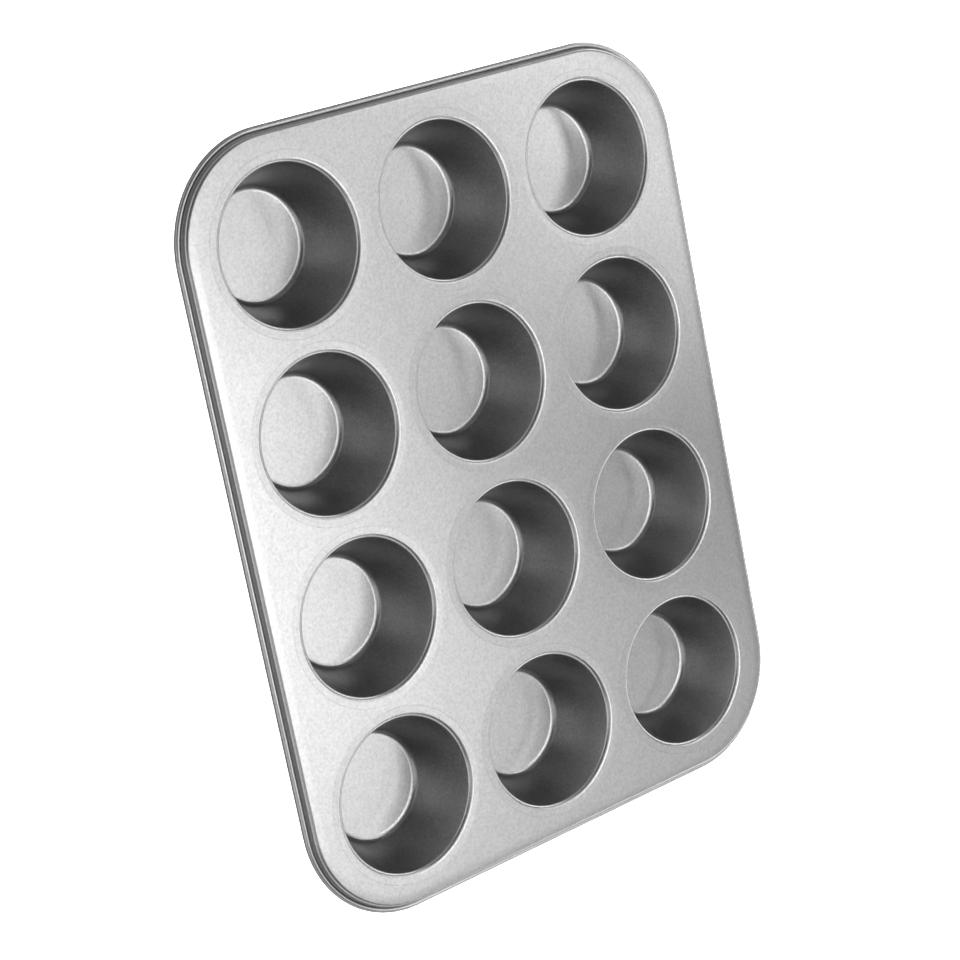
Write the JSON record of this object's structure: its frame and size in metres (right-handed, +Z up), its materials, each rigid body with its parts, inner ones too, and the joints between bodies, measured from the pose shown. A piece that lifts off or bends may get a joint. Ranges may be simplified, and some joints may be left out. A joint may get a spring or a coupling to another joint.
{
  "type": "muffin tin",
  "caption": "Rectangular sheet-steel baking tin with round tapered cups set flush in a flat deck, and a curled rim over a wire.",
  "frame": {"origin": "under the middle of the tin, level with the undersides of the cup floors that it stands on", "axes": "+X along the long side, four cups long; +Y along the short side, from the front row to the back row; +Z up, out of the cup mouths"},
  "size_m": [0.3496, 0.2742, 0.0295],
  "materials": {
    "nonstick_coated_steel": "fine-grained metallic silver-grey non-stick coating on carbon steel sheet, satin",
    "rim_wire_steel": "bare drawn steel wire"
  },
  "bodies": {
    "root": {"deck": "nonstick_coated_steel", "rim_wire": "rim_wire_steel", "cup_front_1": "nonstick_coated_steel", "cup_front_2": "nonstick_coated_steel", "cup_front_3": "nonstick_coated_steel", "cup_front_4": "nonstick_coated_steel", "cup_middle_1": "nonstick_coated_steel", "cup_middle_2": "nonstick_coated_steel", "cup_middle_3": "nonstick_coated_steel", "cup_middle_4": "nonstick_coated_steel", "cup_back_1": "nonstick_coated_steel", "cup_back_2": "nonstick_coated_steel", "cup_back_3": "nonstick_coated_steel", "cup_back_4": "nonstick_coated_steel"}
  },
  "joints": []
}
